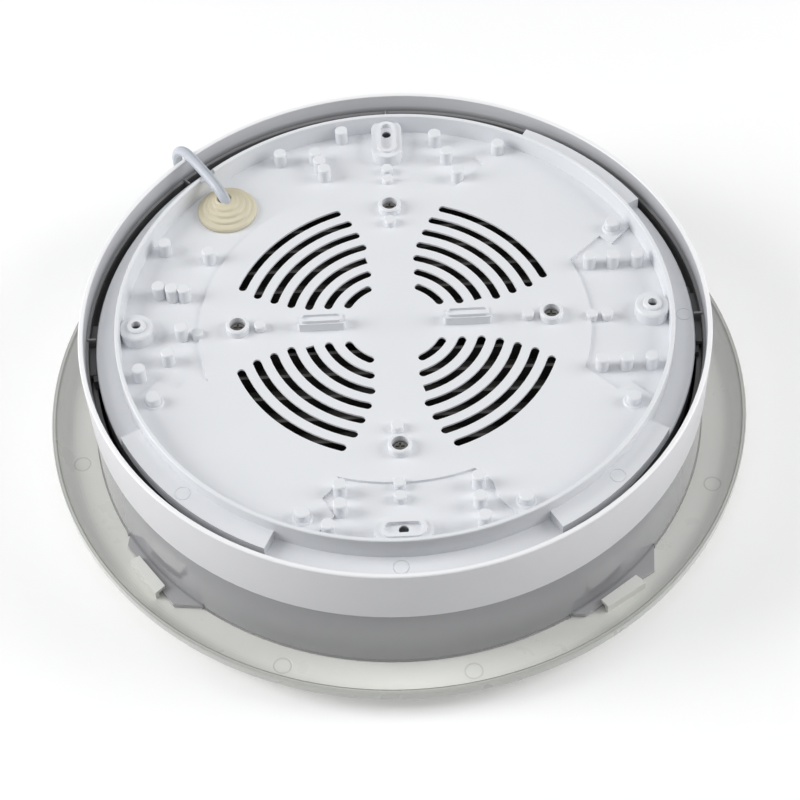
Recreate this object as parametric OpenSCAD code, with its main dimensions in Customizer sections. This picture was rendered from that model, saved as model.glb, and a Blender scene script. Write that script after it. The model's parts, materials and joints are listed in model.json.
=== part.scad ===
// Round surface-mounted LED ceiling light fitting, lying face down.
// +Z points to the side that meets the ceiling. The origin is on the floor, under the centre.

/* [Overall] */
// Height from the front of the diffuser to the mounting wall's top face
total_h = 85; // [84:0.5:88]
// Outer radius of the shroud ring
shroud_r = 165; // [164.5:0.1:165.5]
// Outer radius of the trim ring
trim_r = 189.2; // [188:0.1:192]

/* [Base plate] */
// Outer radius of the base plate
base_r = 157; // [156.8:0.1:157.1]
// Outer radius of the wall that meets the ceiling
wall_r = 145.7; // [145:0.1:146]
// Thickness of that wall
wall_t = 2.2; // [1.8:0.1:3]
// Radius of the raised plateau around the vents
plateau_r = 103; // [101:0.5:104]
// Thickness of the moulded floor
plate_t = 2.4; // [2:0.1:2.6]
// Radius of the tall spacer posts
post_r = 3.5; // [3:0.1:3.5]

/* [Ceiling holes] */
// Circle of the four ceiling screws
mount_pcd = 270; // [269:0.5:271]
// Diameter of each ceiling screw hole
mount_d = 5; // [4:0.1:5]

/* [Vents] */
// Thickness of the moulding between the slots
vent_t = 1.2; // [1:0.1:2.4]
// Width of a vent slot
slot_w = 4.5; // [4:0.1:4.5]
// Radius of the innermost slot's centre line
slot_first_r = 27.7; // [27:0.1:28.5]
// Radial distance from slot to slot
slot_pitch = 9.6; // [9.4:0.05:9.8]

/* [Trim ring] */
// Depth of the dish from the lip down to its floor
dish_h = 9; // [7:0.5:10]
// Width of one hook, in degrees
hook_deg = 8; // [6:0.5:9]

/* [Heat sink] */
// Distance from fin to fin
fin_pitch = 14.5; // [12:0.5:18]
// Thickness of a fin
fin_t = 1.8; // [1.2:0.1:3]
// Circle radius of the four heat sink screws
sink_screw_r = 82.3; // [82:0.1:83]

/* [Supply cord] */
// Diameter of the cord
cord_d = 5.8; // [5:0.1:6]

/* [Light source] */
// Number of LED packages in the innermost ring; the next two hold two and three times as many
led_first_count = 12; // [8:1:14]

/* [Hidden] */
$fn = 96;
e = 0.1;

// Heights of the base plate's levels
rim_z = total_h - 2;
floor_z = total_h - 12.6;
plateau_z = total_h - 11;
shelf_z = total_h - 13.5;
under_z = floor_z - plate_t;
post_z = total_h - 3.5;
short_post_z = plateau_z + 2.8;
boss_z = total_h - 5;
boss_ring_z = total_h - 3.5;
boss_hollow_r = 5.5;
boss_web_t = 1.2;
slot_low_z = boss_ring_z - 2.5;
slot_top_r = 3.1;
sector_z = total_h - 7;
screw_boss_z = plateau_z + 4.5;
seat_z = plateau_z - 0.6;
skirt_z = total_h - 28;
wall_in_r = wall_r - wall_t;
mount_r = mount_pcd / 2;

// Plateau lobes, each from the middle of the plate out past the wall
lobe_ne = [
    [20, 20], [36, 96.5], [51, 110], [54, 113.5], [49, 119.5], [58, 129], [66, 150],
    [150, 150], [150, 70], [131, 62.5], [119, 49.5], [113, 55.5], [95, 38.5]
];
lobe_se = [
    [20, -20], [95.5, -34], [112, -50.5], [118, -44.5], [131, -58], [150, -66], [150, -150],
    [66, -150], [56, -125], [47, -115], [45, -105], [35, -94.5]
];
lobe_sw = [
    [-20, -20], [-36.5, -93.5], [-31, -99], [-35, -106], [-39.5, -110.5], [-33.5, -121.5],
    [-41, -130], [-45, -150], [-150, -150], [-150, -50], [-135, -43.5], [-123, -32.5],
    [-113, -38], [-107, -31], [-101, -31], [-95, -35.5]
];

// Spacer posts on the sunken floor, and posts on the plateau
floor_posts = [
    [105.5, 35], [118, 35], [131, 35], [105.5, -35.5], [118, -35.5], [131, -35.5],
    [-25.5, 138], [-60, 122], [-40.5, 122], [-38, 115.5], [-35.5, 109],
    [27, 132.5], [33, 118.5], [38.5, 103.5], [62, 122.5],
    [-124.5, 27], [-117.5, 25], [-111, 24.5], [-118, -19], [-132.5, -29],
    [-122.5, 58], [-98.5, 50.5], [-111.5, -2.5],
    [-30.5, -107.5], [-30.5, -119], [-36.5, -131], [38, -106], [38, -118], [39.5, -129.5]
];
plateau_posts = [[120, 60], [119, -59.5], [60.5, -118], [-49, -122], [-124.5, -46.5]];
short_posts = [[103.5, -1.5], [111.5, -1.5], [-0.5, 103.5], [-0.5, 111.5], [-1, -104.5], [-1, -112.5],
    [-103.5, -2.5]];
screw_posts = [[70, 0], [0, 71], [-70.5, 0], [-1, -70]];

// How far each vent slot stays from the X and Y axes, from the inner slot outwards
slot_reach = [13.6, 13.6, 13.6, 15.6, 19.1, 23.1, 29.1];

// Raised sectors of the shelf, as start and end angles
sectors = [[29.7, 59.7], [-60.7, -30.8], [206.8, 244.5]];

// Round marks left by the moulding tool, on the shelf and on the dish of the trim ring
shelf_marks = [[-2, -151.5], [152, -1]];
sector_marks = [[-107.5, -107], [106, -108]];
mark_r = 4;
mark_w = 0.35;
mark_deep = 0.3;

// Bosses with a slot on each side of the middle
slot_boss_x = 38.3;
slot_boss_l = 25;
slot_boss_w = 7;

// Twist lock between the base plate and the cover
lug_z = skirt_z + 2;
lug_h = 3;
lock_gap = 0.4;
tab_z = lug_z + lug_h + lock_gap;
tab_h = 2.6;
lug_deg = 7;
lug_r = base_r + 2.6;

// Cover
shroud_bottom_z = rim_z - 35.3;
shroud_in_r = shroud_r - 2.6;
ledge_z = rim_z - 12;
ledge_r = shroud_r - 3.8;
collar_z = skirt_z + 1;
skirt_top_r = shroud_r - 1.4;
skirt_low_r = shroud_r + 0.4;
bowl_t = 2.4;
trim_floor_z = 7.2;
dome_flat_r = 96;
dome_h = 5.2;

// Trim ring and its hooks over the lugs of the diffuser
trim_in_r = skirt_low_r + 0.3;
lip_z = trim_floor_z + dish_h;
lip_t = 2.5;
hook_at = [-50.5, 39.5, 129.5, 219.5];
ear_z = trim_floor_z + 0.3;
ear_h = 2.5;
hook_under_z = ear_z + ear_h + 0.4;
hook_t = 2.2;

// Cable entry
grommet_xy = [-89.5, 87];
entry_r = 10.3;
membrane_z = floor_z + 3.6;
tip_z = floor_z + 9.6;
notch_at = 134;
notch_w = 10;
notch_z = total_h - 2.7;

// Route of the supply cord from the grommet, over the rim and along the floor behind the fitting
cord_route = [
    [-88.4, 84.8, 77], [-89.3, 86.3, 79.9], [-90.6, 88.2, 82.3], [-92.2, 90.6, 84], [-94.1, 93.5, 85.2],
    [-96.6, 97.3, 85.9], [-99.7, 101.9, 86.5], [-103, 106.9, 86.8], [-106.3, 111.9, 86.9],
    [-109.4, 116.5, 86.8], [-112.2, 120.6, 86], [-114.9, 124, 84], [-117.1, 127.1, 80.3],
    [-118.5, 129.5, 75], [-119, 132.2, 67], [-119.5, 135.5, 56.5],
    [-120, 140, 45], [-120, 145.5, 34], [-119, 151.5, 24], [-116.5, 158, 15],
    [-111.5, 164.5, 8], [-103.5, 170.5, 4], [-93, 175, 3], [-79, 181.5, 3], [-64, 187, 3],
    [-48, 191.5, 3], [-31, 195, 3], [-14, 197, 3], [3, 197.5, 3], [20, 196.5, 3], [37, 194.5, 3],
    [53, 191, 3], [69, 186, 3], [84, 179.5, 3], [98, 172, 3], [111, 163.5, 3], [123, 154.5, 3]
];
core_d = 2;
live_core_route = [[123.4, 154.6, 3.3], [129, 149.8, 3.2], [136, 145.6, 2.2], [143, 141, 1.3]];
neutral_core_route = [[122.4, 153.6, 1.75], [128.5, 148.6, 1.5], [134.5, 142.5, 1.3], [141, 137, 1.3]];
earth_core_route = [[122, 153.1, 3.9], [127, 147, 3.3], [131.5, 140, 1.9], [137, 133, 1.3]];
ferrule_l = 8;
ferrule_d = 1.8;

// Inside: heat sink, board and reflector
sink_r = 100;
sink_z = 54.4;
sink_t = 4;
fin_z = under_z - 0.8;
board_r = 92;
board_t = 1.6;
pad_t = 0.4;
board_z = sink_z - pad_t - board_t;
led_ring_pitch = 25;
board_screw_r = 62;
reflector_t = 1;
reflector_in_r = 86;
reflector_high_z = 48.5;
reflector_low_z = 45;
reflector_out_r = 150.5;
pillar_r = 125;
pillar_at = [45, 112, 225, 315];
pillar_z = reflector_low_z + reflector_t + 0.2;

// Inside: driver, terminal block and cord clamp
driver_size = [112, 27, 19];
driver_at = [-56, -130.5, 50];
driver_wall = 1.4;
driver_ear = 10;
ear_screw_x = 61;
ear_screw_y = -118.5;
driver_ear_z = 64;
block_at = [-118, -19];
block_size = [15, 36, 13.6];
block_z = under_z - 0.2 - block_size[2];
pole_pitch = 4.6;
clamp_posts = [[-124.5, 27], [-111, 24.5]];
clamp_z = 54;
clamp_t = 3;
inner_route = [
    [-88.3, 84.6, 76.2], [-88.4, 84.2, 72.4], [-89, 81.8, 67.8], [-91.3, 77.2, 63.6],
    [-95, 71, 60.6], [-99.6, 63, 59.2], [-104.5, 54.5, 58.9], [-109.5, 45.5, 59.2],
    [-114.2, 35.5, 59.8], [-117.2, 26, 60], [-118, 15, 60]
];
live_lead_route = [[-119, 15, 60.6], [-121, 9, 61.5], [-122.6, 3, 62.5], [-122.6, -2, 62.5]];
neutral_lead_route = [[-118, 15, 58.8], [-118, 9, 60.5], [-118, 3, 62.5], [-118, -2, 62.5]];
earth_lead_route = [[-117, 15, 60.8], [-115, 9, 61.5], [-113.4, 3, 62.5], [-113.4, -2, 62.5]];
live_wire_route = [
    [-122.6, -36, 62.5], [-122.6, -42, 62.5], [-122.5, -54, 62], [-117, -69, 61.5], [-106, -85, 61],
    [-93, -99, 60.5], [-80, -109, 60], [-68, -115, 59.5], [-56.2, -116, 59.5]
];
neutral_wire_route = [
    [-118, -36, 62.5], [-118, -42, 62.5], [-119.5, -54, 59.5], [-115.5, -68, 58.5], [-105, -83.5, 58],
    [-92, -97, 57.5], [-80, -106, 57], [-68, -111.5, 56.5], [-56.2, -112.5, 56.5]
];
plus_wire_route = [
    [56.2, -116, 57], [66, -115.5, 56.5], [75, -109, 54.6], [78.5, -98, 52.2], [76.5, -85.5, 51.3],
    [72.3, -75, 51.3], [66.9, -67.7, 51.3], [61.9, -62.5, 51.3]
];
minus_wire_route = [
    [56.2, -112.5, 57], [64, -112, 56.6], [71.3, -106, 54.4], [74, -96.5, 52], [72, -86.5, 51.3],
    [68.5, -76.5, 51.3], [64.1, -70.4, 51.3], [59.2, -65.1, 51.3]
];
earth_wire_route = [
    [-113.4, -36, 62.5], [-113.4, -39.5, 62.4], [-112.9, -44, 61.3], [-111, -48, 59.6],
    [-107.8, -49.6, 57.6], [-104.9, -47.4, 56], [-103.7, -42.5, 55], [-104, -34, 54.2],
    [-105.2, -20, 53.4], [-105, -4, 53], [-102.5, 10, 52.9], [-98.5, 20, 53.1], [-95, 25, 53.4]
];
earth_at = [-92, 28];
connector_deg = -46.5;
connector_h = 2.6;
led_wire_d = 1.6;

// ---- helpers ----

// Part of a flat ring, from angle a0 to a1
module arc_bar(r0, r1, z0, z1, a0, a1) {
    translate([0, 0, z0])
        rotate([0, 0, a0])
            rotate_extrude(angle = a1 - a0)
                translate([r0, 0])
                    square([r1 - r0, z1 - z0]);
}

// Upright bar with round ends, between two points
module oblong(p, q, r, z0, z1) {
    d = q - p;
    translate([p[0], p[1], z0])
        cylinder(r = r, h = z1 - z0);
    translate([q[0], q[1], z0])
        cylinder(r = r, h = z1 - z0);
    translate([p[0], p[1], z0])
        rotate([0, 0, atan2(d[1], d[0])])
            translate([0, -r, 0])
                cube([norm(d), 2 * r, z1 - z0]);
}

// Post with a small bevel at its top
module post(p, r, z0, z1, bevel = 0.5) {
    translate([p[0], p[1], z0])
        cylinder(r = r, h = z1 - z0 - bevel);
    translate([p[0], p[1], z1 - bevel - e / 10])
        cylinder(r1 = r, r2 = r - bevel, h = bevel + e / 10);
}

// Screw with a domed head and a cross recess; it points to +Z or, with up = false, to -Z
module cross_screw(p, z, head_r, head_h, shank_r, shank_l, up = true) {
    translate([p[0], p[1], z])
        rotate([up ? 0 : 180, 0, 0]) {
            difference() {
                rotate_extrude()
                    polygon([
                        [0, 0], [head_r * 0.7, 0], [head_r, head_h * 0.45], [head_r, head_h], [0, head_h]
                    ]);
                for (a = [0, 90])
                    rotate([0, 0, a])
                        translate([-head_r * 0.6, -head_r * 0.12, -e])
                            cube([head_r * 1.2, head_r * 0.24, head_h * 0.55 + e]);
            }
            translate([0, 0, head_h - e])
                cylinder(r = shank_r, h = shank_l + e);
        }
}

function unit(v) = v / norm(v);

// Direction of a route at each of its points
function tangents(p) = [
    for (i = [0 : len(p) - 1])
        unit(p[min(i + 1, len(p) - 1)] - p[max(i - 1, 0)])
];

// A sideways direction at each point, carried along the route without twist
function sideways(t, i = 0, done = []) =
    i == len(t) ? done :
    let (last = i == 0 ? [0.3, 0.2, 1] + 3 * cross(t[0], [0.7, -0.6, 0.4]) : done[i - 1])
    sideways(t, i + 1, concat(done, [unit(last - (last * t[i]) * t[i])]));

// Round tube swept along a route
module tube_along(p, d, sides = 10) {
    t = tangents(p);
    s = sideways(t);
    n = len(p);
    points = [
        for (i = [0 : n - 1], k = [0 : sides - 1])
            p[i] + d / 2 * (cos(360 * k / sides) * s[i] + sin(360 * k / sides) * cross(t[i], s[i]))
    ];
    walls = [
        for (i = [0 : n - 2], k = [0 : sides - 1])
            let (k2 = (k + 1) % sides)
            [(i + 1) * sides + k, (i + 1) * sides + k2, i * sides + k2, i * sides + k]
    ];
    start_cap = [for (k = [0 : sides - 1]) k];
    end_cap = [for (k = [0 : sides - 1]) n * sides - 1 - k];
    polyhedron(points, concat([start_cap, end_cap], walls));
}

// ---- base plate ----

module plateau() {
    translate([0, 0, floor_z - e])
        cylinder(r = plateau_r, h = plateau_z - floor_z + e);
    for (lobe = [lobe_ne, lobe_se, lobe_sw])
        intersection() {
            translate([0, 0, floor_z - e])
                cylinder(r = wall_r - wall_t / 2, h = plateau_z - floor_z + e);
            translate([0, 0, floor_z - 2 * e])
                linear_extrude(height = plateau_z - floor_z + 2 * e)
                    polygon(lobe);
        }
}

module vent_slot(r, reach) {
    a = asin(reach / r);
    arc_bar(r - slot_w / 2, r + slot_w / 2, under_z - 1, plateau_z + 1, a, 90 - a);
    for (b = [a, 90 - a])
        rotate([0, 0, b])
            translate([r, 0, under_z - 1])
                cylinder(r = slot_w / 2, h = plateau_z - under_z + 2);
}

// Shallow circular groove that a moulding pin leaves
module pin_mark(p, z, r) {
    translate([p[0], p[1], z - mark_deep])
        difference() {
            cylinder(r = r, h = 2 * mark_deep, $fn = 48);
            translate([0, 0, -e])
                cylinder(r = r - mark_w, h = 2 * mark_deep + 2 * e, $fn = 48);
        }
}

// Round two-step boss of a ceiling hole
module round_boss(p) {
    post(p, 9, under_z + e, boss_z, 0.8);
    post(p, 5, under_z + e, boss_ring_z, 0.6);
}

// Long two-step boss of a ceiling hole, with a shallow slot in its top
module long_boss(p, q) {
    oblong(p, q, 8.5, under_z + e, boss_z);
    oblong(p, q, 5.3, boss_z - e, boss_ring_z);
}

module slot_boss(x) {
    h = slot_boss_l / 2;
    w = slot_boss_w / 2;
    for (sy = [-1, 1])
        oblong([x - h + 1.5, sy * (w - 1.5)], [x + h - 1.5, sy * (w - 1.5)], 1.5,
            plateau_z - e, plateau_z + 5.6);
    translate([x - h, 1.5 - w, plateau_z - e])
        cube([2 * h, 2 * w - 3, 5.6 + e]);
    difference() {
        oblong([x - h + 4, 0], [x + h - 4, 0], 2.9, plateau_z - e, plateau_z + 7.6);
        oblong([x - h + 4, 0], [x + h - 4, 0], 1.5, plateau_z + 6, plateau_z + 8);
    }
}

module base_solid() {
    // Floor, mounting wall, shelf and the outer wall that goes down into the cover
    rotate_extrude()
        polygon([
            [0, under_z], [wall_in_r - 2, under_z], [wall_in_r - 1, shelf_z - plate_t],
            [base_r - 2.4, shelf_z - plate_t], [base_r - 2.4, skirt_z], [base_r, skirt_z],
            [base_r, shelf_z - 0.6], [base_r - 0.6, shelf_z], [wall_r, shelf_z],
            [wall_r, total_h - 0.4], [wall_r - 0.4, total_h], [wall_in_r + 0.4, total_h],
            [wall_in_r, total_h - 0.4], [wall_in_r, floor_z], [0, floor_z]
        ]);
    plateau();
    for (s = sectors)
        arc_bar(wall_r - 1, base_r - 0.2, shelf_z - 1, sector_z, s[0], s[1]);
    for (p = floor_posts)
        post(p, post_r, under_z + e, post_z);
    for (p = plateau_posts) {
        post(p, post_r + 0.3, under_z + e, post_z - 1.5);
        post(p, post_r + 1.8, plateau_z - e, plateau_z + 1, 0.9);
    }
    for (p = short_posts)
        post(p, 3.1, under_z + e, short_post_z);
    for (p = screw_posts)
        post(p, 3.2, seat_z, plateau_z + 4);
    round_boss([mount_r, 0]);
    round_boss([-mount_r, 0]);
    long_boss([0, mount_r - 10.5], [0, mount_r + 3]);
    long_boss([-6, -mount_r], [6, -mount_r]);
    for (k = [0 : 3])
        rotate([0, 0, 90 * k])
            post([sink_screw_r, 0], 6.2, seat_z, screw_boss_z, 0.6);
    for (sx = [-1, 1])
        slot_boss(sx * slot_boss_x);
    // Lugs of the twist lock, each with an end stop
    for (k = [0 : 3])
        rotate([0, 0, 90 * k]) {
            arc_bar(base_r - 1, lug_r, lug_z, lug_z + lug_h, -lug_deg, lug_deg);
            arc_bar(base_r - 1, lug_r, lug_z, tab_z + tab_h, lug_deg, lug_deg + 1.5);
        }
    // Pillars for the reflector, the driver and the cord clamp
    for (a = pillar_at)
        rotate([0, 0, a])
            translate([pillar_r, 0, pillar_z])
                cylinder(r = 4.5, h = under_z - pillar_z + e);
    for (sx = [-1, 1])
        translate([sx * ear_screw_x, ear_screw_y, driver_ear_z + 2])
            cylinder(r = 4, h = under_z - driver_ear_z - 2 + e);
    for (p = clamp_posts)
        translate([p[0], p[1], clamp_z + clamp_t])
            cylinder(r = 3.4, h = under_z - clamp_z - clamp_t + e);
    translate([-120.5, 23, 60 + cord_d / 2 + e])
        cube([5, 6, under_z - 60 - cord_d / 2]);
}

module base_plate() {
    color([0.89, 0.9, 0.915])
        difference() {
            base_solid();
            // Hollow under the plateau, thicker only where the heat sink posts meet it
            difference() {
                translate([0, 0, under_z - 1])
                    cylinder(r = plateau_r - 3, h = plateau_z - vent_t - under_z + 1);
                for (k = [0 : 3])
                    rotate([0, 0, 90 * k])
                        translate([sink_screw_r, 0, plateau_z - plate_t])
                            cylinder(r = 7, h = plate_t);
            }
            for (q = [0 : 3], i = [0 : len(slot_reach) - 1])
                rotate([0, 0, 90 * q])
                    vent_slot(slot_first_r + i * slot_pitch, slot_reach[i]);
            for (k = [0 : 3])
                rotate([0, 0, 90 * k]) {
                    translate([mount_r, 0, under_z - 1])
                        cylinder(r = mount_d / 2, h = total_h);
                    translate([mount_r, 0, under_z - 1])
                        cylinder(r = boss_hollow_r, h = slot_low_z - boss_web_t - under_z + 1);
                    translate([sink_screw_r, 0, seat_z])
                        cylinder(r = 4.3, h = total_h);
                    translate([sink_screw_r, 0, under_z])
                        cylinder(r = 2.2, h = total_h);
                }
            oblong([0, mount_r - 10.5], [0, mount_r + 3], slot_top_r, slot_low_z, total_h);
            oblong([-6.3, -mount_r], [6.3, -mount_r], slot_top_r, slot_low_z, total_h);
            // Cable entry and the notch that the cord leaves through
            translate([grommet_xy[0], grommet_xy[1], under_z - 1])
                cylinder(r = entry_r, h = plate_t + 2);
            rotate([0, 0, notch_at])
                translate([wall_in_r - 2, -notch_w / 2, notch_z])
                    cube([wall_t + 4, notch_w, total_h]);
            for (p = shelf_marks)
                pin_mark(p, shelf_z, mark_r);
            for (p = sector_marks)
                pin_mark(p, sector_z, mark_r);
            // Blind holes for the inner screws
            for (a = pillar_at)
                rotate([0, 0, a])
                    translate([pillar_r, 0, pillar_z - 1])
                        cylinder(r = 1.4, h = 13);
            for (sx = [-1, 1])
                translate([sx * ear_screw_x, ear_screw_y, driver_ear_z + 1])
                    cylinder(r = 1.4, h = 6.6);
            for (p = clamp_posts)
                translate([p[0], p[1], clamp_z + clamp_t - 1])
                    cylinder(r = 1.4, h = 12);
            translate([block_at[0], block_at[1], under_z - 1])
                cylinder(r = 1.4, h = 9);
        }
}

// ---- cover: shroud ring, diffuser and trim ring ----

module shroud_ring() {
    color([0.86, 0.87, 0.885]) {
        rotate_extrude()
            polygon([
                [ledge_r, shroud_bottom_z], [shroud_r - 0.4, shroud_bottom_z],
                [shroud_r, shroud_bottom_z + 0.4], [shroud_r, rim_z - 0.6], [shroud_r - 0.6, rim_z],
                [shroud_in_r + 0.4, rim_z], [shroud_in_r, rim_z - 0.4],
                [shroud_in_r, ledge_z], [ledge_r, ledge_z - 0.8]
            ]);
        // Tabs of the twist lock
        for (k = [0 : 3])
            arc_bar(base_r + 0.8, ledge_r + 1, tab_z, tab_z + tab_h,
                90 * k - lug_deg + 1.8, 90 * k + lug_deg - 0.2);
        // Thin centring ribs
        for (k = [0 : 7])
            rotate([0, 0, 45 * k])
                translate([base_r + 0.4, -0.5, tab_z + 0.5])
                    cube([shroud_in_r - base_r, 1, shelf_z - tab_z - 0.5]);
    }
}

// Lug on the diffuser's lower edge: a wedge that grips the hook as the trim ring turns
module ear(a) {
    rotate([0, 0, a])
        translate([0, 0, ear_z])
            linear_extrude(height = ear_h)
                polygon([
                    [skirt_low_r - 1.5, -31], [skirt_low_r * cos(10.4), -skirt_low_r * sin(10.4)],
                    [170.2 * cos(8.4), -170.2 * sin(8.4)], [174.6 * cos(6.6), 174.6 * sin(6.6)],
                    [skirt_low_r * cos(11), skirt_low_r * sin(11)], [skirt_low_r - 1.5, 31],
                    [skirt_low_r - 6.4, 29], [skirt_low_r - 2, 0], [skirt_low_r - 6.4, -29]
                ]);
}

module bowl_profile() {
    dome_w = skirt_low_r - 2 - dome_flat_r;
    dome_r = (dome_w * dome_w + dome_h * dome_h) / (2 * dome_h);
    steps = 8;
    outer = [
        for (i = [0 : steps])
            let (x = dome_flat_r + dome_w * i / steps)
            [x, dome_r - sqrt(dome_r * dome_r - pow(x - dome_flat_r, 2))]
    ];
    polygon(concat(
        [[0, bowl_t], [0, 0]],
        outer,
        [
            [skirt_low_r - 0.6, dome_h + 1.6], [skirt_low_r, dome_h + 3.6],
            [skirt_top_r, shroud_bottom_z - 0.5], [ledge_r - 0.1, shroud_bottom_z - 0.5],
            [ledge_r - 0.1, collar_z], [ledge_r - 2.5, collar_z], [ledge_r - 2.5, shroud_bottom_z - 3.5],
            [skirt_low_r - bowl_t - 0.6, trim_floor_z + 6], [skirt_low_r - 6.4, dome_h + 3],
            [dome_flat_r + 49, dome_h / 2 + bowl_t], [dome_flat_r + 30, dome_h / 5 + bowl_t],
            [dome_flat_r, bowl_t]
        ]
    ));
}

module diffuser() {
    color([0.62, 0.63, 0.65]) {
        rotate_extrude()
            bowl_profile();
        for (a = hook_at)
            ear(a + 0.8);
    }
}

// Hook of the trim ring: a wall outside the lug and a flange over it
module hook(a) {
    h = hook_deg / 2;
    rotate([0, 0, a]) {
        translate([0, 0, trim_floor_z - 1])
            linear_extrude(height = hook_under_z - trim_floor_z + 1 + e)
                polygon([
                    [172.3 * cos(h), -172.3 * sin(h)], [174.9 * cos(h), 174.9 * sin(h)],
                    [177.2 * cos(h), 177.2 * sin(h)], [174.6 * cos(h), -174.6 * sin(h)]
                ]);
        translate([0, 0, hook_under_z])
            linear_extrude(height = hook_t)
                polygon([
                    [169.2 * cos(h), -169.2 * sin(h)], [170.6 * cos(h), 170.6 * sin(h)],
                    [177.2 * cos(h), 177.2 * sin(h)], [174.6 * cos(h), -174.6 * sin(h)]
                ]);
    }
}

module trim_profile() {
    arc_c = [trim_r - lip_t - dish_h, lip_z];
    inner = [for (a = [-90 : 10 : 0]) arc_c + dish_h * [cos(a), sin(a)]];
    out_r = 8;
    out_c = [trim_r - out_r, trim_floor_z + 1.3 + out_r - 3.4];
    outer = [for (a = [-10 : -16 : -90]) out_c + out_r * [cos(a), sin(a)]];
    polygon(concat(
        [[trim_in_r, trim_floor_z - 2.4], [trim_in_r, trim_floor_z - 0.3], [trim_in_r + 0.3, trim_floor_z]],
        inner,
        [[trim_r - lip_t, lip_z - 0.5], [trim_r - lip_t + 0.5, lip_z], [trim_r - 0.5, lip_z], [trim_r, lip_z - 0.5]],
        outer
    ));
}

module trim_ring() {
    color([0.83, 0.83, 0.8]) {
        rotate_extrude()
            trim_profile();
        for (a = hook_at)
            hook(a);
    }
}

module cover_seal() {
    color([0.55, 0.55, 0.56])
        rotate_extrude()
            translate([base_r - 2.4 + 1.2, skirt_z - 1.6])
                circle(r = 1.4, $fn = 24);
}

// ---- cable entry and supply cord ----

module cable_grommet() {
    color([0.9, 0.87, 0.75])
        translate([grommet_xy[0], grommet_xy[1], 0])
            difference() {
                rotate_extrude()
                    polygon([
                        [0, under_z - 3], [13, under_z - 3], [13, under_z - 0.1], [10.2, under_z - 0.1],
                        [10.2, floor_z + 0.1], [16.3, floor_z + 0.1], [16.3, floor_z + 2.2],
                        [15.6, floor_z + 3], [13.4, floor_z + 3.2], [13, floor_z + 4.6],
                        [12.5, floor_z + 5], [10.4, floor_z + 5.2], [10, floor_z + 6.4],
                        [9.5, floor_z + 6.8], [7.6, floor_z + 7], [7.2, floor_z + 8], [6.7, floor_z + 8.4],
                        [5.6, floor_z + 8.6], [5.2, tip_z - 0.4], [4.8, tip_z], [0, tip_z]
                    ]);
                translate([0, 0, membrane_z + 1])
                    cylinder(r = 4, h = total_h);
                translate([0, 0, membrane_z - 1])
                    cylinder(r = cord_d / 2, h = 3);
                translate([0, 0, under_z - 4])
                    cylinder(r = 7.5, h = membrane_z - under_z + 4);
            }
}

module supply_cord() {
    color([0.85, 0.87, 0.9])
        tube_along(cord_route, cord_d);
}

module core_live() {
    color([0.45, 0.27, 0.16])
        tube_along(live_core_route, core_d, 8);
}

module core_neutral() {
    color([0.15, 0.35, 0.7])
        tube_along(neutral_core_route, core_d, 8);
}

module core_earth() {
    color([0.35, 0.6, 0.2])
        tube_along(earth_core_route, core_d, 8);
}

// Crimped sleeve past the last point of a core, level with the floor
module ferrule(route) {
    n = len(route);
    d = route[n - 1] - route[n - 2];
    translate(route[n - 1])
        rotate([0, 90, atan2(d[1], d[0])])
            cylinder(d = ferrule_d, h = ferrule_l, $fn = 24);
}

module core_ferrules() {
    color([0.75, 0.76, 0.78])
        for (route = [live_core_route, neutral_core_route, earth_core_route])
            ferrule(route);
}

// ---- heat sink and light source ----

module heat_sink() {
    color([0.12, 0.12, 0.12])
        difference() {
            union() {
                translate([0, 0, sink_z])
                    cylinder(r = sink_r, h = sink_t);
                intersection() {
                    translate([0, 0, sink_z + sink_t - e])
                        cylinder(r = sink_r - 1, h = fin_z - sink_z - sink_t + e);
                    union() {
                        for (i = [-6 : 6])
                            translate([-sink_r, i * fin_pitch - fin_t / 2, sink_z + sink_t - 2 * e])
                                cube([2 * sink_r, fin_t, fin_z]);
                    }
                }
                for (k = [0 : 3])
                    rotate([0, 0, 90 * k])
                        translate([sink_screw_r, 0, sink_z + sink_t - e])
                            cylinder(r = 5, h = plateau_z - plate_t - sink_z - sink_t);
            }
            for (k = [0 : 3])
                rotate([0, 0, 90 * k])
                    translate([sink_screw_r, 0, sink_z + 1])
                        cylinder(r = 2, h = total_h);
            for (k = [0 : 5])
                rotate([0, 0, 60 * k + 30])
                    translate([board_screw_r, 0, sink_z - 1])
                        cylinder(r = 1.5, h = 4.4);
            translate([earth_at[0], earth_at[1], sink_z - 1])
                cylinder(r = 1.7, h = 4.4);
        }
}

module heat_sink_screws() {
    color([0.5, 0.5, 0.48])
        for (k = [0 : 3])
            rotate([0, 0, 90 * k])
                cross_screw([sink_screw_r, 0], seat_z + 2.2, 3.9, 2.2, 1.95, 11, false);
}

module thermal_pad() {
    color([0.75, 0.78, 0.8])
        difference() {
            translate([0, 0, sink_z - pad_t])
                cylinder(r = board_r - 2, h = pad_t);
            for (k = [0 : 5])
                rotate([0, 0, 60 * k + 30])
                    translate([board_screw_r, 0, sink_z - 1])
                        cylinder(r = 1.7, h = 2);
        }
}

module led_board() {
    color([0.92, 0.93, 0.94])
        difference() {
            translate([0, 0, board_z])
                cylinder(r = board_r, h = board_t);
            for (k = [0 : 5])
                rotate([0, 0, 60 * k + 30])
                    translate([board_screw_r, 0, board_z - 1])
                        cylinder(r = 1.7, h = 4);
        }
}

module led_chips() {
    color([0.95, 0.85, 0.4])
        for (ring_no = [1 : 3], k = [0 : ring_no * led_first_count - 1])
            rotate([0, 0, 360 * k / (ring_no * led_first_count)])
                translate([ring_no * led_ring_pitch - 1.4, -1.75, board_z - 0.8])
                    cube([2.8, 3.5, 0.8]);
}

module led_board_screws() {
    color([0.7, 0.7, 0.7])
        for (k = [0 : 5])
            rotate([0, 0, 60 * k + 30])
                cross_screw([board_screw_r, 0], board_z - 2, 2.8, 2, 1.45, 5);
}

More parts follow.
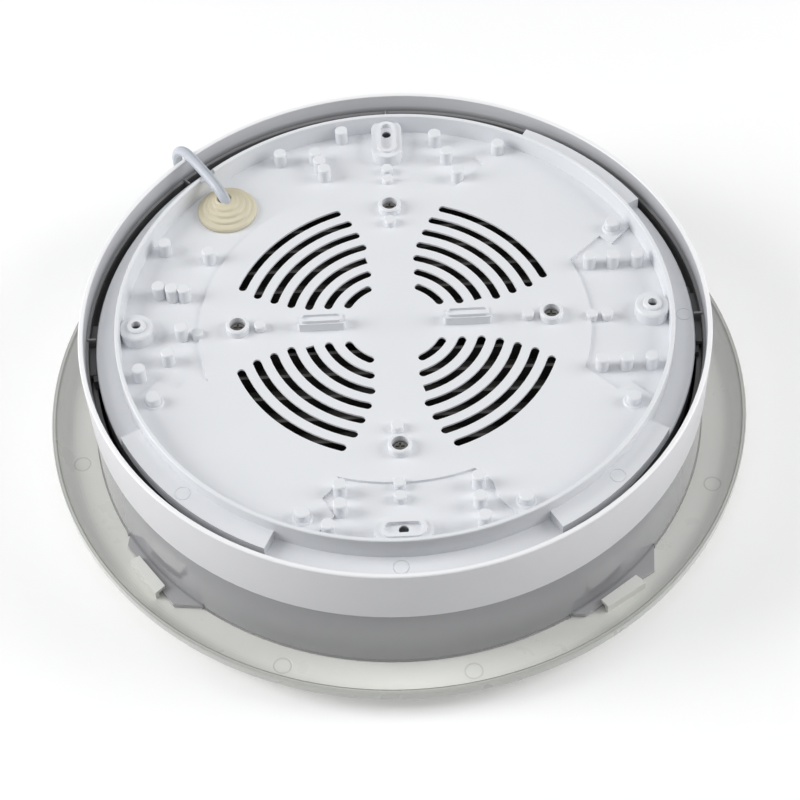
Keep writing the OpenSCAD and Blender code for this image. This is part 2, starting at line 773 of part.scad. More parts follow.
module led_connector() {
    color([0.95, 0.95, 0.93])
        rotate([0, 0, connector_deg])
            difference() {
                translate([82.5, -4, board_z - connector_h])
                    cube([7.5, 8, connector_h]);
                for (y = [-1.9, 1.9])
                    translate([86, y, board_z - 1.1])
                        rotate([0, 90, 0])
                            cylinder(d = led_wire_d + 0.3, h = 6);
            }
}

module reflector() {
    color([0.94, 0.94, 0.94])
        difference() {
            rotate_extrude()
                polygon([
                    [reflector_in_r, reflector_high_z], [102, reflector_high_z], [110, reflector_low_z],
                    [reflector_out_r - 3, reflector_low_z], [reflector_out_r, reflector_low_z + 4],
                    [reflector_out_r - 1.2, reflector_low_z + 4.4], [reflector_out_r - 3.6, reflector_low_z + 1],
                    [110.4, reflector_low_z + 1], [102.4, reflector_high_z + 1],
                    [reflector_in_r, reflector_high_z + 1]
                ]);
            for (a = pillar_at)
                rotate([0, 0, a])
                    translate([pillar_r, 0, reflector_low_z - 1])
                        cylinder(r = 1.7, h = 4);
        }
}

module reflector_screws() {
    color([0.7, 0.7, 0.7])
        for (a = pillar_at)
            rotate([0, 0, a])
                cross_screw([pillar_r, 0], reflector_low_z - 2, 2.8, 2, 1.35, 9);
}

// ---- driver ----

module driver_case() {
    color([0.93, 0.93, 0.9])
        difference() {
            union() {
                translate(driver_at)
                    cube(driver_size);
                translate([driver_at[0] - driver_ear, ear_screw_y - 6, driver_ear_z])
                    cube([driver_size[0] + 2 * driver_ear, 12, 1.8]);
            }
            translate(driver_at + [driver_wall, driver_wall, -1])
                cube([driver_size[0] - 2 * driver_wall, driver_size[1] - 2 * driver_wall,
                    driver_size[2] - driver_wall + 1]);
            for (sx = [-1, 1])
                translate([sx * ear_screw_x, ear_screw_y, driver_ear_z - 1])
                    cylinder(r = 1.7, h = 4);
            for (w = [live_wire_route, neutral_wire_route, plus_wire_route, minus_wire_route])
                let (p = abs(w[0][0]) < 60 ? w[0] : w[len(w) - 1])
                translate([p[0] > 0 ? driver_at[0] + driver_size[0] - 3 : driver_at[0] - 1, p[1], p[2]])
                    rotate([0, 90, 0])
                        cylinder(r = 1.3, h = 4);
        }
}

module driver_lid() {
    color([0.9, 0.9, 0.87])
        translate(driver_at + [driver_wall + 0.1, driver_wall + 0.1, 0])
            cube([driver_size[0] - 2 * driver_wall - 0.2, driver_size[1] - 2 * driver_wall - 0.2, 1.4]);
}

module driver_board() {
    color([0.2, 0.42, 0.25])
        translate(driver_at + [driver_wall + 0.4, driver_wall + 0.4, 3.2])
            cube([driver_size[0] - 2 * driver_wall - 0.8, driver_size[1] - 2 * driver_wall - 0.8, 1.2]);
}

// Transformer, two capacitors, a choke and a switching transistor
module driver_parts() {
    z = driver_at[2] + 4.4;
    color([0.25, 0.25, 0.27]) {
        translate([-10, -128, z])
            cube([20, 18, 12]);
        for (x = [20, 31])
            translate([x, -120, z])
                cylinder(r = 4.5, h = 12);
        translate([-28, -120, z])
            cylinder(r = 7, h = 8);
        translate([42, -124, z])
            cube([4, 10, 11]);
        translate([-47, -121, z])
            cube([7, 12, 9]);
    }
}

module driver_screws() {
    color([0.7, 0.7, 0.7])
        for (sx = [-1, 1])
            cross_screw([sx * ear_screw_x, ear_screw_y], driver_ear_z - 2, 2.8, 2, 1.35, 6);
}

// ---- terminal block and cord clamp ----

module terminal_block() {
    x0 = block_at[0] - block_size[0] / 2;
    y0 = block_at[1] - block_size[1] / 2;
    color([0.92, 0.92, 0.9])
        difference() {
            translate([x0, y0, block_z])
                cube(block_size);
            for (i = [-1 : 1]) {
                for (end = [y0 - 1, y0 + block_size[1] - 9])
                    translate([block_at[0] + i * pole_pitch, end, 62.5])
                        rotate([-90, 0, 0])
                            cylinder(r = 1.5, h = 10);
                for (dy = [-13, 13])
                    translate([block_at[0] + i * pole_pitch, block_at[1] + dy, block_z - 1])
                        cylinder(r = 1.6, h = 62.5 - block_z + 1);
            }
            translate([block_at[0], block_at[1], block_z - 1])
                cylinder(r = 1.7, h = 20);
            translate([block_at[0], block_at[1], block_z - 1])
                cylinder(r = 3.2, h = 5);
        }
}

module terminal_screws() {
    color([0.75, 0.68, 0.45])
        for (i = [-1 : 1], dy = [-13, 13])
            translate([block_at[0] + i * pole_pitch, block_at[1] + dy, block_z + 0.6])
                difference() {
                    cylinder(r = 1.5, h = 4.3);
                    translate([-2, -0.25, -e])
                        cube([4, 0.5, 1]);
                }
}

module terminal_fixing_screw() {
    color([0.7, 0.7, 0.7])
        cross_screw(block_at, block_z + 2, 2.8, 2, 1.35, 16);
}

module inner_cord() {
    color([0.85, 0.87, 0.9])
        tube_along(inner_route, cord_d);
}

module cord_clamp() {
    d = clamp_posts[1] - clamp_posts[0];
    color([0.92, 0.92, 0.9])
        difference() {
            oblong(clamp_posts[0], clamp_posts[1], 4, clamp_z, clamp_z + clamp_t - e);
            for (p = clamp_posts)
                translate([p[0], p[1], clamp_z - 1])
                    cylinder(r = 1.7, h = 6);
        }
}

module clamp_screws() {
    color([0.7, 0.7, 0.7])
        for (p = clamp_posts)
            cross_screw(p, clamp_z - 2, 2.8, 2, 1.35, 9);
}

// ---- wires inside ----

module live_lead() {
    color([0.45, 0.27, 0.16])
        tube_along(live_lead_route, core_d, 8);
}

module neutral_lead() {
    color([0.15, 0.35, 0.7])
        tube_along(neutral_lead_route, core_d, 8);
}

module earth_lead() {
    color([0.35, 0.6, 0.2])
        tube_along(earth_lead_route, core_d, 8);
}

module live_wire() {
    color([0.45, 0.27, 0.16])
        tube_along(live_wire_route, core_d, 8);
}

module neutral_wire() {
    color([0.15, 0.35, 0.7])
        tube_along(neutral_wire_route, core_d, 8);
}

module earth_wire() {
    color([0.35, 0.6, 0.2])
        tube_along(earth_wire_route, core_d, 8);
}

// Ring crimped on the earth wire, under the earth screw
module earth_eyelet() {
    color([0.72, 0.73, 0.74])
        difference() {
            union() {
                translate([earth_at[0], earth_at[1], sink_z - 0.7])
                    cylinder(r = 3.2, h = 0.6);
                translate([earth_at[0], earth_at[1], sink_z - 0.7])
                    rotate([0, 0, 225])
                        translate([0, -1.3, 0])
                            cube([4.2, 2.6, 0.6]);
            }
            translate([earth_at[0], earth_at[1], sink_z - 2])
                cylinder(r = 1.7, h = 3);
        }
}

module earth_screw() {
    color([0.75, 0.68, 0.45])
        cross_screw(earth_at, sink_z - 2.8, 2.8, 2, 1.6, 3.8);
}

module led_wire_plus() {
    color([0.75, 0.1, 0.1])
        tube_along(plus_wire_route, led_wire_d, 8);
}

module led_wire_minus() {
    color([0.1, 0.1, 0.1])
        tube_along(minus_wire_route, led_wire_d, 8);
}

base_plate();
shroud_ring();
diffuser();
trim_ring();
cover_seal();
cable_grommet();
supply_cord();
core_live();
core_neutral();
core_earth();
core_ferrules();
heat_sink();
heat_sink_screws();
thermal_pad();
led_board();
led_chips();
led_board_screws();
led_connector();
reflector();
reflector_screws();
driver_case();
driver_lid();
driver_board();
driver_parts();
driver_screws();
terminal_block();
terminal_screws();
terminal_fixing_screw();
inner_cord();
cord_clamp();
clamp_screws();
live_lead();
neutral_lead();
earth_lead();
live_wire();
neutral_wire();
earth_wire();
earth_eyelet();
earth_screw();
led_wire_plus();
led_wire_minus();
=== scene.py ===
"""Looks of a round LED ceiling light that lies face down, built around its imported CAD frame."""
import json
from math import cos, pi, radians, sin

import bpy
from mathutils import Matrix, Vector


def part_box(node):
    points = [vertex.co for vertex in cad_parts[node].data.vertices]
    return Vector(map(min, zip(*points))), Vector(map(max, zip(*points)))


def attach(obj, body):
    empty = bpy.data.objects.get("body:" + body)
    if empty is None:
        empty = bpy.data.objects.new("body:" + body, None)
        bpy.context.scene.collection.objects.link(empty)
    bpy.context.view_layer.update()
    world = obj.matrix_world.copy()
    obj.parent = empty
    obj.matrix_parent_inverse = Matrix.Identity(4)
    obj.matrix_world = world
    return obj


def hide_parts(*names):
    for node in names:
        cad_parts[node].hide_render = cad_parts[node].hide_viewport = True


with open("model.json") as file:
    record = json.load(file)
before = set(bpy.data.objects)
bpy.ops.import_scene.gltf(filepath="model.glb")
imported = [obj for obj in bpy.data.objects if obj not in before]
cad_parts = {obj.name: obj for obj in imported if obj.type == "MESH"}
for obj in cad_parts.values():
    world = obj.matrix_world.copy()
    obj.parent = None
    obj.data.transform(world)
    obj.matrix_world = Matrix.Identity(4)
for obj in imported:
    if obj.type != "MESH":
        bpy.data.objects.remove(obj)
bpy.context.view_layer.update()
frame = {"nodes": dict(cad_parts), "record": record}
nodes = frame["nodes"]
MM = 0.001

# ---- camera ----

CAMERA_AT = (0.00096, -0.67970, 0.87456)
CAMERA_TILT = 38.112
CAMERA_ROLL = -2.577
LENS = 89.96
SENSOR = 36.0

camera_data = bpy.data.cameras.new("camera")
camera_data.lens = LENS
camera_data.sensor_width = SENSOR
camera_data.clip_start = 0.05
camera_data.clip_end = 50
camera = bpy.data.objects.new("camera", camera_data)
bpy.context.scene.collection.objects.link(camera)
camera.matrix_world = (
    Matrix.Translation(CAMERA_AT)
    @ Matrix.Rotation(radians(CAMERA_TILT), 4, "X")
    @ Matrix.Rotation(radians(CAMERA_ROLL), 4, "Z")
)
bpy.context.scene.camera = camera


# ---- mesh helpers ----

def new_mesh(name, verts, faces, uvs=None, smooth=True):
    mesh = bpy.data.meshes.new(name)
    mesh.from_pydata([tuple(v) for v in verts], [], faces)
    if uvs is not None:
        layer = mesh.uv_layers.new(name="UVMap")
        for loop in mesh.loops:
            layer.data[loop.index].uv = uvs[loop.vertex_index]
    for polygon in mesh.polygons:
        polygon.use_smooth = smooth
    mesh.update()
    obj = bpy.data.objects.new(name, mesh)
    bpy.context.scene.collection.objects.link(obj)
    return obj


def spline(points, steps):
    """Smooth curve through the points."""
    p = [Vector(q) for q in points]
    p = [2 * p[0] - p[1]] + p + [2 * p[-1] - p[-2]]
    out = []
    for i in range(1, len(p) - 2):
        a, b, c, d = p[i - 1], p[i], p[i + 1], p[i + 2]
        for k in range(steps):
            t = k / steps
            out.append(0.5 * (
                2 * b + (c - a) * t
                + (2 * a - 5 * b + 4 * c - d) * t * t
                + (3 * b - a - 3 * c + d) * t * t * t
            ))
    return out + [p[-2]]


def tube(name, path, radius, sides):
    """Closed round tube along a path; its UV map holds the length in u and the way around in v."""
    n = len(path)
    frames = []
    last = None
    for i in range(n):
        t = (path[min(i + 1, n - 1)] - path[max(i - 1, 0)]).normalized()
        side = last if last is not None else t.orthogonal()
        side = (side - side.dot(t) * t).normalized()
        last = side
        frames.append((t, side, t.cross(side)))
    verts, uvs = [], []
    run = 0
    for i, (t, s, b) in enumerate(frames):
        if i:
            run += (path[i] - path[i - 1]).length
        for k in range(sides):
            a = 2 * pi * k / sides
            verts.append(path[i] + radius * (cos(a) * s + sin(a) * b))
            uvs.append((run, k / sides))
    faces = []
    for i in range(n - 1):
        for k in range(sides):
            k2 = (k + 1) % sides
            faces.append((i * sides + k, i * sides + k2, (i + 1) * sides + k2, (i + 1) * sides + k))
    faces.append(tuple(reversed(range(sides))))
    faces.append(tuple(range((n - 1) * sides, n * sides)))
    return new_mesh(name, verts, faces, uvs)


def lathe(name, profile, centre, segments, lean=None):
    """Solid of revolution about a vertical axis through centre, from (radius, height) points.
    The profile starts and ends on the same ring, so the surface is closed.
    lean gives each height's sideways shift."""
    verts, faces = [], []
    m = len(profile)
    for k in range(segments):
        a = 2 * pi * k / segments
        for r, z in profile:
            dx, dy = lean(z) if lean else (0, 0)
            verts.append((centre[0] + dx + r * cos(a), centre[1] + dy + r * sin(a), z))
    for k in range(segments):
        k2 = (k + 1) % segments
        for j in range(m):
            j2 = (j + 1) % m
            faces.append((k * m + j, k2 * m + j, k2 * m + j2, k * m + j2))
    return new_mesh(name, verts, faces)


# ---- cord ----

CORD_D = 5.8 * MM
CORD_ROUTE = [
    (-88.4, 84.8, 77), (-89.3, 86.3, 79.9), (-90.6, 88.2, 82.3), (-92.2, 90.6, 84), (-94.1, 93.5, 85.2),
    (-96.6, 97.3, 85.9), (-99.7, 101.9, 86.5), (-103, 106.9, 86.8), (-106.3, 111.9, 86.9),
    (-109.4, 116.5, 86.8), (-112.2, 120.6, 86), (-114.9, 124, 84), (-117.1, 127.1, 80.3),
    (-118.5, 129.5, 75), (-119, 132.2, 67), (-119.5, 135.5, 56.5),
    (-120, 140, 45), (-120, 145.5, 34), (-119, 151.5, 24), (-116.5, 158, 15),
    (-111.5, 164.5, 8), (-103.5, 170.5, 4), (-93, 175, 3), (-79, 181.5, 3), (-64, 187, 3),
    (-48, 191.5, 3), (-31, 195, 3), (-14, 197, 3), (3, 197.5, 3), (20, 196.5, 3), (37, 194.5, 3),
    (53, 191, 3), (69, 186, 3), (84, 179.5, 3), (98, 172, 3), (111, 163.5, 3), (123, 154.5, 3),
]
cord_path = spline([Vector(p) * MM for p in CORD_ROUTE], 8)
cord = tube("supply_cord_sheath", cord_path, CORD_D / 2, 32)
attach(cord, "base")
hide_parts("supply_cord")


# ---- materials ----

class Tree:
    """Short way to build a node tree."""

    def __init__(self, material):
        material.use_nodes = True
        self.tree = material.node_tree
        self.tree.nodes.clear()
        self.out = self.tree.nodes.new("ShaderNodeOutputMaterial")

    def node(self, kind, **settings):
        made = self.tree.nodes.new(kind)
        for name, value in settings.items():
            setattr(made, name, value)
        return made

    def link(self, a, b):
        self.tree.links.new(a, b)

    def noise(self, scale, detail=3.0, rough=0.55, vector=None):
        made = self.node("ShaderNodeTexNoise")
        made.inputs["Scale"].default_value = scale
        made.inputs["Detail"].default_value = detail
        made.inputs["Roughness"].default_value = rough
        self.link(vector if vector is not None else self.position(), made.inputs["Vector"])
        return made.outputs["Fac"]

    def position(self):
        if not hasattr(self, "_position"):
            self._position = self.node("ShaderNodeTexCoord").outputs["Object"]
        return self._position

    def ramp(self, value, low, high, to_low=0.0, to_high=1.0):
        made = self.node("ShaderNodeMapRange")
        self.link(value, made.inputs["Value"])
        for name, number in (
            ("From Min", low), ("From Max", high), ("To Min", to_low), ("To Max", to_high),
        ):
            made.inputs[name].default_value = number
        return made.outputs["Result"]

    def math(self, operation, a, b):
        made = self.node("ShaderNodeMath", operation=operation)
        for i, value in enumerate((a, b)):
            if isinstance(value, (int, float)):
                made.inputs[i].default_value = value
            else:
                self.link(value, made.inputs[i])
        return made.outputs[0]

    def mix(self, factor, a, b):
        made = self.node("ShaderNodeMix", data_type="RGBA")
        self.link(factor, made.inputs[0])
        for socket, value in ((made.inputs[6], a), (made.inputs[7], b)):
            if isinstance(value, tuple):
                socket.default_value = (*value, 1)
            else:
                self.link(value, socket)
        return made.outputs[2]

    def bump(self, height, strength, distance, normal=None):
        made = self.node("ShaderNodeBump")
        made.inputs["Strength"].default_value = strength
        made.inputs["Distance"].default_value = distance
        self.link(height, made.inputs["Height"])
        if normal is not None:
            self.link(normal, made.inputs["Normal"])
        return made.outputs["Normal"]

    def axis(self, index):
        parts = self.node("ShaderNodeSeparateXYZ")
        self.link(self.position(), parts.inputs[0])
        return parts.outputs[index]

    def radius(self, centre=(0.0, 0.0)):
        """Distance from a vertical line, in metres; without a centre, from the fitting's axis."""
        x = self.math("SUBTRACT", self.axis(0), centre[0])
        y = self.math("SUBTRACT", self.axis(1), centre[1])
        squares = self.math("ADD", self.math("MULTIPLY", x, x), self.math("MULTIPLY", y, y))
        return self.math("SQRT", squares, 0)

    def line(self, value, at, half):
        """1 where value is near at, falling to 0 at half from it."""
        off = self.math("ABSOLUTE", self.math("SUBTRACT", value, at), 0)
        return self.ramp(off, half * 0.4, half, 1.0, 0.0)


def shade(colour, factor):
    return tuple(min(1.0, c * factor) for c in colour)


def plastic(name, colour, rough, specular=0.5, tint=None, grain=900.0, grain_height=0.02, specks=0.0,
            subsurface=0.0, coat=0.0, coat_rough=0.08, rings=None, spread=0.03, paint=None):
    """Moulded plastic: faint clouding, fine grain, roughness that varies, and a few specks."""
    material = bpy.data.materials.new(name)
    t = Tree(material)
    shader = t.node("ShaderNodeBsdfPrincipled")
    cloud = t.ramp(t.noise(22.0, 4.0), 0.3, 0.7)
    mixed = t.mix(cloud, shade(colour, 1 - spread), tint or shade(colour, 1 + spread))
    if specks:
        cells = t.node("ShaderNodeTexVoronoi", feature="F1")
        cells.inputs["Scale"].default_value = 70.0
        t.link(t.position(), cells.inputs["Vector"])
        chance = t.noise(43.0, 1.0)
        spot = t.math("MULTIPLY", t.ramp(cells.outputs["Distance"], 0.03, 0.015), t.ramp(chance, 0.66, 0.68))
        mixed = t.mix(t.math("MULTIPLY", spot, specks), mixed, shade(colour, 0.25))
    if paint is not None:
        mixed = paint(t, mixed, colour)
    t.link(mixed, shader.inputs["Base Color"])
    wear = t.ramp(t.noise(60.0, 5.0), 0.25, 0.75, rough * 0.85, min(1.0, rough * 1.15))
    t.link(wear, shader.inputs["Roughness"])
    shader.inputs["Specular IOR Level"].default_value = specular
    if subsurface:
        shader.inputs["Subsurface Weight"].default_value = subsurface
        shader.inputs["Subsurface Radius"].default_value = (0.004, 0.004, 0.0045)
    if coat:
        shader.inputs["Coat Weight"].default_value = coat
        shader.inputs["Coat Roughness"].default_value = coat_rough
    normal = t.bump(t.noise(grain, 2.0), grain_height, 0.0002)
    if rings is not None:
        normal = t.bump(rings(t), 0.5, 0.0004, normal)
    t.link(normal, shader.inputs["Normal"])
    t.link(shader.outputs[0], t.out.inputs["Surface"])
    return material


def metal(name, colour, rough, streak=0.15, metallic=1.0, axis_scale=(1.0, 1.0, 1.0), fine=400.0, paint=None):
    """Metal with fine grain; axis_scale can draw the grain out along one axis."""
    material = bpy.data.materials.new(name)
    t = Tree(material)
    shader = t.node("ShaderNodeBsdfPrincipled")
    stretch = t.node("ShaderNodeMapping")
    stretch.inputs["Scale"].default_value = axis_scale
    t.link(t.position(), stretch.inputs["Vector"])
    grain = t.noise(fine, 4.0, 0.6, stretch.outputs[0])
    mixed = t.mix(grain, shade(colour, 1 - streak), shade(colour, 1 + streak))
    if paint is not None:
        mixed = paint(t, mixed, colour)
    t.link(mixed, shader.inputs["Base Color"])
    t.link(t.ramp(grain, 0.3, 0.7, rough * 0.8, min(1.0, rough * 1.2)), shader.inputs["Roughness"])
    shader.inputs["Metallic"].default_value = metallic
    t.link(t.bump(grain, 0.1, 0.0001), shader.inputs["Normal"])
    t.link(shader.outputs[0], t.out.inputs["Surface"])
    return material


# Heights and radii, in metres, where the paint of a piece changes
FIN_TOP_Z = 0.0692
RIM_Z = 0.083
# Heights between which the painted shade inside the shroud's gap grows from none to full
GAP_PALE_Z = 0.075
GAP_DARK_Z = 0.070
SHROUD_INSIDE_R = 0.163
BASE_WALL_R = 0.1564
SHELF_Z = 0.0708
BOWL_SKIRT_R = 0.1663

# Round marks that the moulding tool leaves on the dish of the trim ring, and two turned lines on its lip
TRIM_MARKS = [(-0.1719, -0.0335), (-0.0635, -0.1649), (0.0317, -0.1727), (0.1645, -0.0654)]
TRIM_MARK_R = 0.0044
LIP_LINES = (0.1868, 0.1883)


def trim_relief(t):
    height = None
    for centre in TRIM_MARKS:
        ring = t.line(t.radius(centre), TRIM_MARK_R, 0.0006)
        height = ring if height is None else t.math("MAXIMUM", height, ring)
    for at in LIP_LINES:
        height = t.math("MAXIMUM", height, t.line(t.radius(), at, 0.0004))
    return t.math("MULTIPLY", height, -1)


def painted_groove_shade(t, mixed, colour):
    """Painted shade: darker lines in the grooves of the turned lines on the lip and of the round marks."""
    lines = None
    for at in LIP_LINES:
        one = t.line(t.radius(), at, 0.0004)
        lines = one if lines is None else t.math("MAXIMUM", lines, one)
    for centre in TRIM_MARKS:
        lines = t.math("MAXIMUM", lines, t.line(t.radius(centre), TRIM_MARK_R, 0.0005))
    # painted shade in the grooves
    return t.mix(t.math("MULTIPLY", lines, 0.3), mixed, shade(colour, 0.45))


def painted_fin_top_highlight(t, mixed, colour):
    """Heat sink: a painted highlight makes the tops of the fins paler than their black faces."""
    top = t.line(t.axis(2), FIN_TOP_Z, 0.0004)
    return t.mix(t.math("MULTIPLY", top, 0.8), mixed, (0.16, 0.155, 0.15))


def painted_lip_and_groove_shade(t, mixed, colour):
    """Trim ring: painted shade makes it greyer round its outer lip and darker in the turned lines and round
    marks.
    """
    # painted shade round the outer lip
    outside = t.ramp(t.radius(), LIP_LINES[0] - 0.0004, LIP_LINES[0] + 0.0002)
    return painted_groove_shade(t, t.mix(outside, mixed, shade(colour, 0.62)), colour)


def painted_rim_highlight_and_gap_shade(t, mixed, colour):
    """Shroud ring: a painted highlight along the top of its rim, and painted shade on its faces deep in the
    gap to the base.
    """
    # painted highlight on the top of the rim
    rim = t.ramp(t.axis(2), RIM_Z - 0.0007, RIM_Z - 0.0002)
    # painted shade on the inner faces, deepening down the gap
    facing_in = t.ramp(t.radius(), SHROUD_INSIDE_R + 0.0002, SHROUD_INSIDE_R - 0.0002)
    inside = t.math("MULTIPLY", facing_in, t.ramp(t.axis(2), GAP_PALE_Z, GAP_DARK_Z))
    return t.mix(inside, t.mix(rim, mixed, (0.93, 0.93, 0.94)), shade(colour, 0.28))


def painted_base_gap_shade(t, mixed, colour):
    """Base plate: painted shade darkens its outer wall below the shelf, in the gap to the shroud."""
    facing_out = t.ramp(t.radius(), BASE_WALL_R - 0.0002, BASE_WALL_R + 0.0002)
    wall = t.math("MULTIPLY", facing_out, t.ramp(t.axis(2), SHELF_Z + 0.0004, SHELF_Z - 0.0004))
    return t.mix(wall, mixed, shade(colour, 0.2))


def painted_lug_light(t, mixed, colour):
    """Diffuser: painted light makes the lugs at the bowl's lower edge paler than its skirt."""
    lug = t.ramp(t.radius(), BOWL_SKIRT_R - 0.0003, BOWL_SKIRT_R + 0.0003)
    return t.mix(lug, mixed, (0.46, 0.46, 0.47))


def cord_material():
    """Milky sheath with faint lines along it."""
    material = bpy.data.materials.new("cord_sheath")
    t = Tree(material)
    shader = t.node("ShaderNodeBsdfPrincipled")
    uv = t.node("ShaderNodeSeparateXYZ")
    t.link(t.node("ShaderNodeTexCoord").outputs["UV"], uv.inputs[0])
    wave = t.math("SINE", t.math("MULTIPLY", uv.outputs[1], 2 * pi * 3), 0)
    stripe = t.ramp(wave, 0.7, 1.0)
    colour = t.mix(stripe, (0.52, 0.55, 0.60), (0.38, 0.41, 0.46))
    cloud = t.ramp(t.noise(120.0), 0.35, 0.65)
    t.link(t.mix(t.math("MULTIPLY", cloud, 0.3), colour, (0.60, 0.63, 0.68)), shader.inputs["Base Color"])
    t.link(t.ramp(t.noise(200.0), 0.3, 0.7, 0.26, 0.38), shader.inputs["Roughness"])
    shader.inputs["Subsurface Weight"].default_value = 0.35
    shader.inputs["Subsurface Radius"].default_value = (0.003, 0.003, 0.003)
    shader.inputs["Specular IOR Level"].default_value = 0.45
    t.link(t.bump(t.noise(700.0), 0.05, 0.0002, t.bump(stripe, 0.2, 0.0003)), shader.inputs["Normal"])
    t.link(shader.outputs[0], t.out.inputs["Surface"])
    return material


WHITE = (0.80, 0.815, 0.84)
MATERIALS = {
    # The base plate's paint holds painted shade on its outer wall in the gap to the shroud
    "base_plastic": plastic("base_plastic", WHITE, 0.42, specks=0.5, spread=0.012, paint=painted_base_gap_shade),
    # The shroud's paint holds a painted highlight on its rim and painted shade in the gap to the base
    "shroud_plastic": plastic("shroud_plastic", (0.66, 0.66, 0.675), 0.36, specks=0.4, spread=0.015,
                              paint=painted_rim_highlight_and_gap_shade),
    # The diffuser's paint holds painted light on its lugs
    "diffuser_plastic": plastic("diffuser_plastic", (0.33, 0.33, 0.345), 0.10, specular=0.6,
                                grain=300.0, grain_height=0.005, coat=0.6, coat_rough=0.03, spread=0.02,
                                paint=painted_lug_light),
    # The trim ring's paint holds painted shade round its outer lip and in its grooves
    "trim_plastic": plastic("trim_plastic", (0.85, 0.855, 0.81), 0.30, rings=trim_relief,
                            spread=0.012, paint=painted_lip_and_groove_shade),
    # The seal is coloured near-black as painted shade at the bottom of the gap between base and shroud
    "seal_rubber": plastic("seal_rubber", (0.03, 0.03, 0.031), 0.7, grain_height=0.1),
    "grommet_rubber": plastic("grommet_rubber", (0.68, 0.62, 0.45), 0.5, tint=(0.75, 0.70, 0.55),
                              grain=500.0, grain_height=0.05, subsurface=0.2),
    "cord_sheath": cord_material(),
    "insulation_brown": plastic("insulation_brown", (0.15, 0.05, 0.016), 0.35),
    "insulation_blue": plastic("insulation_blue", (0.023, 0.115, 0.39), 0.35),
    "insulation_green": plastic("insulation_green", (0.16, 0.32, 0.03), 0.35),
    "insulation_red": plastic("insulation_red", (0.43, 0.017, 0.012), 0.35),
    "insulation_black": plastic("insulation_black", (0.012, 0.012, 0.013), 0.35),
    "tinned_copper": metal("tinned_copper", (0.62, 0.62, 0.63), 0.3),
    # The heat sink's paint holds a painted highlight along the fin tops
    "black_aluminium": metal("black_aluminium", (0.055, 0.052, 0.048), 0.5, 0.4, 0.1, (0.1, 4.0, 4.0),
                             paint=painted_fin_top_highlight),
    "zinc_dark": metal("zinc_dark", (0.30, 0.29, 0.27), 0.35, 0.25),
    "zinc_bright": metal("zinc_bright", (0.55, 0.55, 0.54), 0.3),
    "brass_screw": metal("brass_screw", (0.62, 0.43, 0.18), 0.3),
    "pad_silicone": plastic("pad_silicone", (0.46, 0.50, 0.54), 0.7, grain_height=0.1),
    "board_white": plastic("board_white", (0.84, 0.85, 0.86), 0.3),
    "board_green": plastic("board_green", (0.028, 0.148, 0.055), 0.3),
    "chip_yellow": plastic("chip_yellow", (0.82, 0.62, 0.12), 0.3, subsurface=0.2),
    "connector_plastic": plastic("connector_plastic", (0.82, 0.82, 0.79), 0.4),
    "driver_plastic": plastic("driver_plastic", (0.80, 0.80, 0.75), 0.4),
    "reflector_white": plastic("reflector_white", (0.86, 0.86, 0.86), 0.35),
    "component_dark": plastic("component_dark", (0.04, 0.04, 0.045), 0.45),
}

for row in frame["record"]["subparts"]:
    obj = nodes[row["node"]]
    obj.data.materials.clear()
    obj.data.materials.append(MATERIALS[row["material_slot"]])
cord.data.materials.append(MATERIALS["cord_sheath"])


# ---- grommet: rounded steps around the cord ----

GROMMET_XY = (-0.0895, 0.087)
GROMMET_FOOT_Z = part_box("cable_grommet")[0].z
FLOOR_Z = 72.4 * MM


def rounded_steps():
    """Outside of the grommet from the flange to the mouth: one soft bulge for each step."""
    rings = [(16.3, 0.1), (16.3, 2.0), (15.7, 2.9), (13.7, 3.25)]
    steps = [(13.2, 3.4, 1.75), (10.2, 5.15, 1.75), (7.4, 6.9, 1.6)]
    for r, z, h in steps:
        for k in range(7):
            a = radians(90 * k / 6)
            rings.append((r - 0.7 + 0.7 * cos(a) if k else r, z + (h - 0.15) * sin(a)))
        rings.append((r - 1.9, z + h))
    rings += [(5.0, 8.7), (4.9, 9.0), (4.6, 9.3), (4.2, 9.4), (3.8, 9.3), (3.5, 9.0), (3.3, 4.6)]
    return rings


def tip_lean(z):
    """The bent cord pulls the soft tip a little to its own side."""
    above = max(0.0, z - FLOOR_Z - 5.0 * MM) / (4.4 * MM)
    return (-0.0012 * above ** 2, 0.0016 * above ** 2)


outer = [(r * MM, FLOOR_Z + z * MM) for r, z in rounded_steps()]
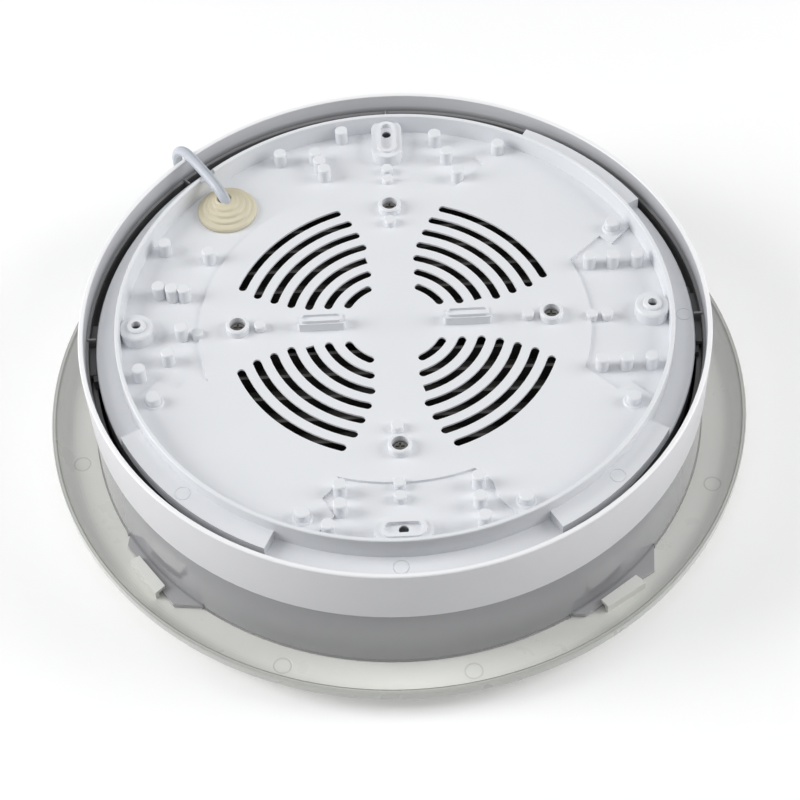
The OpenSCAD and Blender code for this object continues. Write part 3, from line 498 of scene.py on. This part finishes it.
# The hole round the cord, the cavity below the membrane, and the foot that grips the plate
inner = [
    (2.9 * MM, FLOOR_Z + 4.6 * MM), (2.9 * MM, FLOOR_Z + 3.6 * MM), (7.5 * MM, FLOOR_Z + 3.6 * MM),
    (7.5 * MM, GROMMET_FOOT_Z), (13 * MM, GROMMET_FOOT_Z), (13 * MM, GROMMET_FOOT_Z + 2.9 * MM),
    (10.2 * MM, GROMMET_FOOT_Z + 2.9 * MM), (10.2 * MM, FLOOR_Z + 0.1 * MM),
]
grommet = lathe("grommet_body", outer + inner, GROMMET_XY, 96, tip_lean)
grommet.data.materials.append(MATERIALS["grommet_rubber"])
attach(grommet, "base")
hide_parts("cable_grommet")


# ---- stage and light ----

FLOOR_GLOW = 0.10
FLOOR_HALF = 6.0


def floor_material():
    material = bpy.data.materials.new("floor_pale")
    t = Tree(material)
    shader = t.node("ShaderNodeBsdfPrincipled")
    cloud = t.noise(3.0)
    t.link(t.mix(cloud, (0.93, 0.93, 0.93), (0.95, 0.95, 0.95)), shader.inputs["Base Color"])
    shader.inputs["Roughness"].default_value = 0.8
    shader.inputs["Emission Color"].default_value = (1, 1, 1, 1)
    shader.inputs["Emission Strength"].default_value = FLOOR_GLOW
    t.link(shader.outputs[0], t.out.inputs["Surface"])
    return material


floor = new_mesh(
    "floor",
    [(sx * FLOOR_HALF, sy * FLOOR_HALF, 0) for sx, sy in ((-1, -1), (1, -1), (1, 1), (-1, 1))],
    [(0, 1, 2, 3)], smooth=False,
)
floor.data.materials.append(floor_material())


def area_light(name, at, towards, size, power):
    data = bpy.data.lights.new(name, "AREA")
    data.shape = "RECTANGLE"
    data.size, data.size_y = size
    data.energy = power
    light = bpy.data.objects.new(name, data)
    light.location = at
    light.rotation_euler = (Vector(towards) - Vector(at)).to_track_quat("-Z", "Y").to_euler()
    bpy.context.scene.collection.objects.link(light)


# Name, place, aim, size and power of each softbox
SOFTBOXES = [
    ("top_softbox", (0, 0, 1.7), (0, 0, 0), (1.2, 1.2), 5.0),
    ("left_softbox", (-1.5, 0, 0.8), (0, 0, 0.06), (0.8, 1.4), 22.5),
    ("right_softbox", (1.5, 0, 0.8), (0, 0, 0.06), (0.8, 1.4), 16.5),
]
WORLD_LIGHT = 0.29
for name, at, towards, size, power in SOFTBOXES:
    area_light(name, at, towards, size, power)

world = bpy.data.worlds.new("studio")
world.use_nodes = True
background = world.node_tree.nodes["Background"]
background.inputs["Color"].default_value = (0.97, 0.98, 1.0, 1)
background.inputs["Strength"].default_value = WORLD_LIGHT
bpy.context.scene.world = world
bpy.context.scene.view_settings.view_transform = "Standard"
